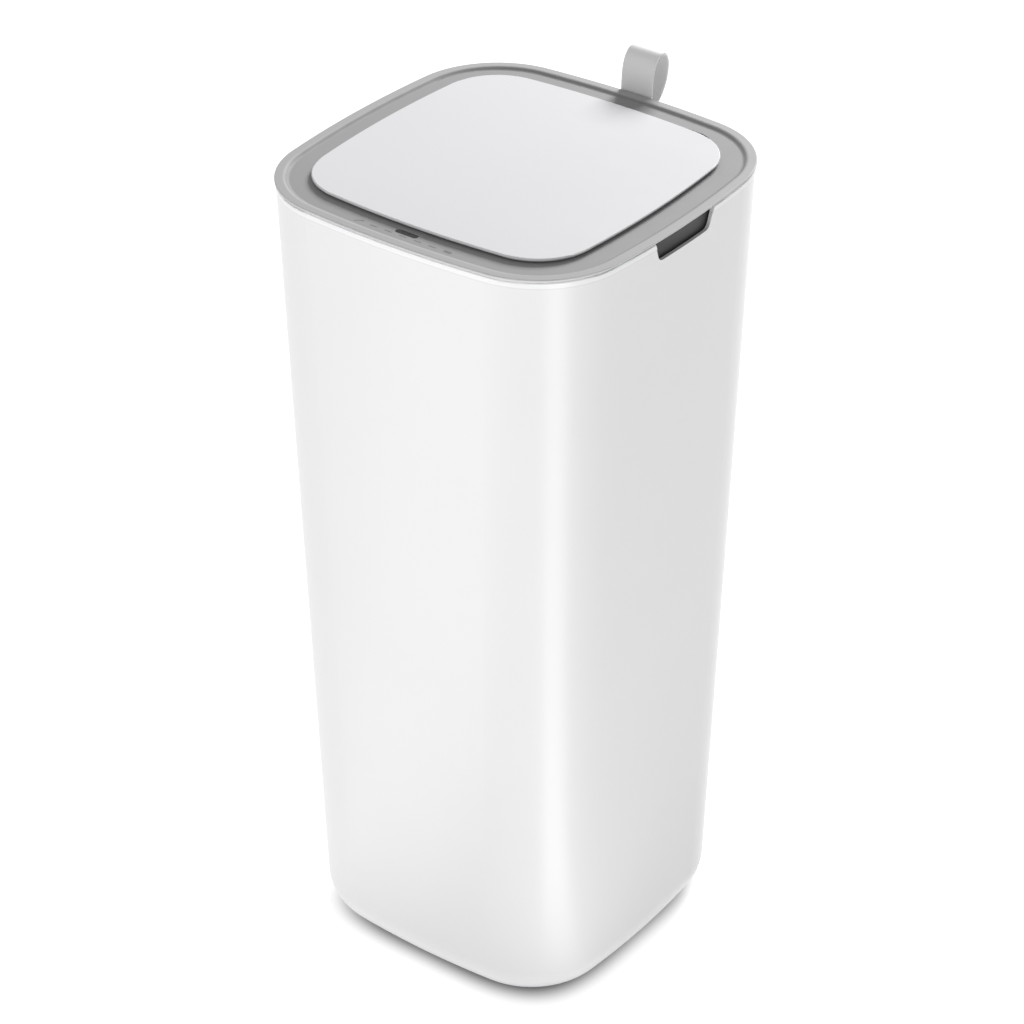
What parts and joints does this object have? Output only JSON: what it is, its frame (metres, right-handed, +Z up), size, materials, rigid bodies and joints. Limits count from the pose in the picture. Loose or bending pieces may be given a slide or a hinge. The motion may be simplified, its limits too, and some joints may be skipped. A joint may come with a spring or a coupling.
{
  "type": "touchless waste bin",
  "caption": "Tall rounded-square waste bin with a tapered white body and a lift-off grey head holding a motorised hinged lid, an infrared sensor and a soft pull tab.",
  "frame": {"origin": "on the floor, under the middle of the bin", "axes": "+Z up, the sensor side faces -Y, the hinge and the pull tab are at +Y, +X is to the right seen from the sensor side"},
  "size_m": [0.28, 0.3027, 0.6495],
  "materials": {
    "body_white": "fine satin moulded polypropylene",
    "lid_white": "fine matt moulded plastic",
    "rim_grey": "satin moulded plastic",
    "dark_plastic": "fine texture",
    "foot_rubber": "matt",
    "tab_silicone": "soft matt silicone",
    "sensor_black": "gloss infrared window",
    "mark_grey": "printed",
    "circuit_board": "solder mask",
    "diode_clear": "clear moulded",
    "diode_dark": "dark moulded",
    "cable_black": "insulation",
    "motor_steel": "drawn can",
    "steel": "ground",
    "gear_brass": "hobbed",
    "bush_brass": "sintered",
    "gear_acetal": "moulded acetal",
    "contact_nickel": "nickel plated",
    "switch_black": "moulded",
    "screw_zinc": "zinc plated",
    "cell_sleeve": "shrink sleeve"
  },
  "bodies": {
    "bin": {"body_shell": "body_white", "base_pad": "foot_rubber"},
    "head": {"rim_cover": "rim_grey", "head_base": "dark_plastic", "mechanism_cover": "dark_plastic", "hinge_bush_left": "bush_brass", "hinge_bush_right": "bush_brass", "sensor_window": "sensor_black", "indicator_marks": "mark_grey", "sensor_board": "circuit_board", "ir_emitter": "diode_clear", "ir_receiver": "diode_dark", "status_light": "diode_clear", "main_board": "circuit_board", "sensor_cable": "cable_black", "motor_cable": "cable_black", "motor": "motor_steel", "gear_axle": "steel", "gear_bracket": "dark_plastic", "battery_tray": "dark_plastic", "battery_contacts": "contact_nickel", "battery_springs": "contact_nickel", "power_switch": "switch_black", "head_screws": "screw_zinc", "cover_screws": "screw_zinc", "lid_bumpers": "foot_rubber", "pull_tab": "tab_silicone", "tab_clamp": "steel", "tab_screws": "screw_zinc", "battery_1": "cell_sleeve", "battery_2": "cell_sleeve", "battery_3": "cell_sleeve", "battery_4": "cell_sleeve"},
    "lid": {"lid_cover": "lid_white", "lid_inner_panel": "lid_white", "hinge_arm_left": "dark_plastic", "hinge_arm_right": "dark_plastic", "hinge_shaft": "steel", "lid_gear": "gear_acetal", "lid_screws": "screw_zinc"},
    "reduction": {"reduction_gear": "gear_acetal"},
    "motor_drive": {"motor_shaft": "steel", "motor_pinion": "gear_brass"},
    "battery_door": {"battery_cover": "dark_plastic"},
    "switch": {"switch_slider": "switch_black"}
  },
  "joints": [
    {"name": "head_lift", "type": "slide", "parent": "bin", "child": "head", "axis": [0, 0, 1], "range_m": [0, 0.08]},
    {"name": "lid_hinge", "type": "hinge", "parent": "head", "child": "lid", "pos_m": [0, 0.1125, 0.616], "axis": [-1, 0, 0], "range_deg": [0, 80]},
    {"name": "reduction_spin", "type": "hinge", "parent": "head", "child": "reduction", "pos_m": [0.054, 0.10758, 0.60247], "axis": [-1, 0, 0], "range_deg": [-162, 2]},
    {"name": "motor_spin", "type": "hinge", "parent": "head", "child": "motor_drive", "pos_m": [0.054, 0.09883, 0.59205], "axis": [-1, 0, 0], "range_deg": [-4, 388]},
    {"name": "battery_cover_slide", "type": "slide", "parent": "head", "child": "battery_door", "axis": [0, -1, 0], "range_m": [0, 0.028]},
    {"name": "power_switch_slide", "type": "slide", "parent": "head", "child": "switch", "axis": [1, 0, 0], "range_m": [0, 0.0044]}
  ],
  "couplings": [
    {"joint": "reduction_spin", "follows": "lid_hinge", "ratio": -2},
    {"joint": "motor_spin", "follows": "lid_hinge", "ratio": 4.8}
  ]
}
